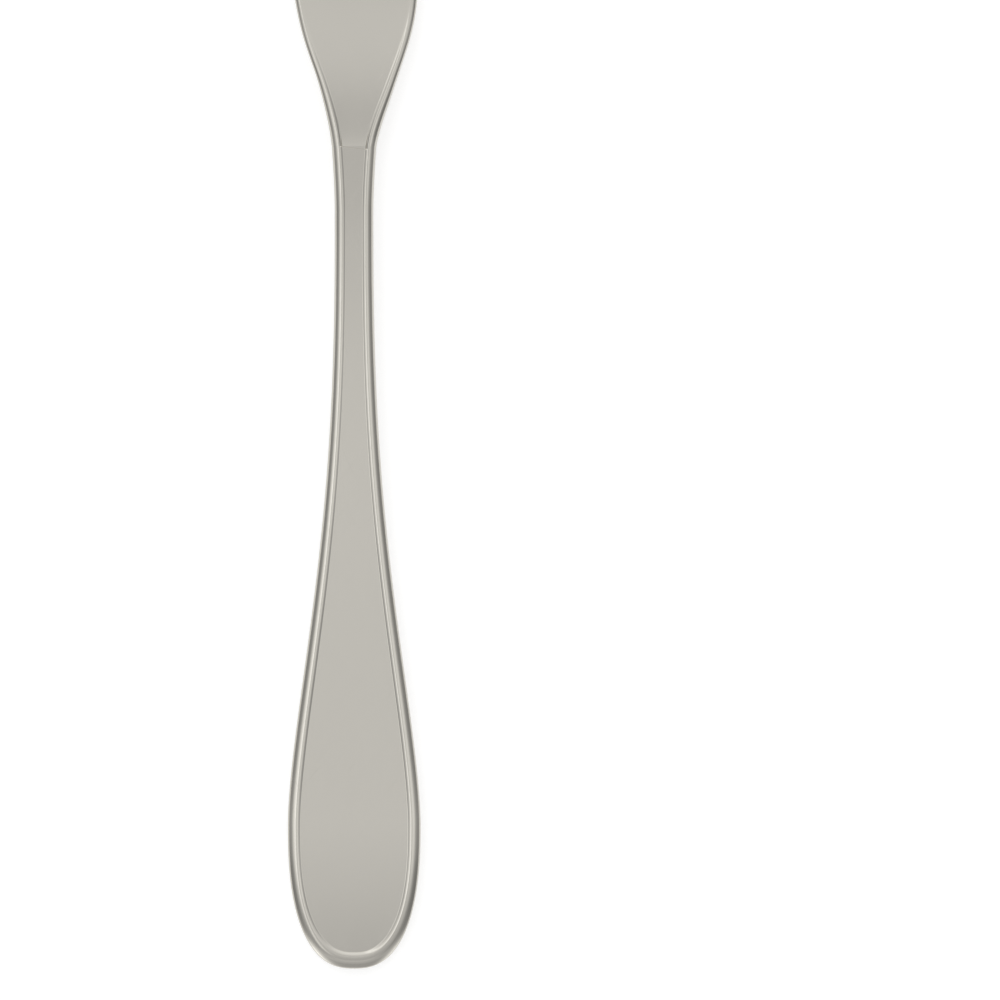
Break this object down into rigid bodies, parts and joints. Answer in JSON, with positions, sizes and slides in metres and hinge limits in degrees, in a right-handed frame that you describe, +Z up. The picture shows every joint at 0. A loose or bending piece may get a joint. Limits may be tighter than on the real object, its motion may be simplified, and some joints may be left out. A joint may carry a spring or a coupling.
{
  "type": "butter knife",
  "caption": "Flat-handled butter knife: a paddle-shaped handle with a raised border round a sunken panel, a slim shank and a rounded spreader blade that leans to its spine side.",
  "frame": {"origin": "on the handle's centreline, halfway along the knife, on the plane that its flat back rests on", "axes": "+Y along the knife towards the blade's tip, +X towards the blade's spine side, +Z up, out of the bordered face"},
  "size_m": [0.0185, 0.17, 0.0033],
  "materials": {
    "handle_steel": "polished stainless steel with fine use marks",
    "blade_steel": "polished stainless steel with fine use marks",
    "solder": "dull tin solder, hidden in the neck"
  },
  "bodies": {
    "root": {"handle": "handle_steel", "blade": "blade_steel", "solder_sleeve": "solder"}
  },
  "joints": []
}
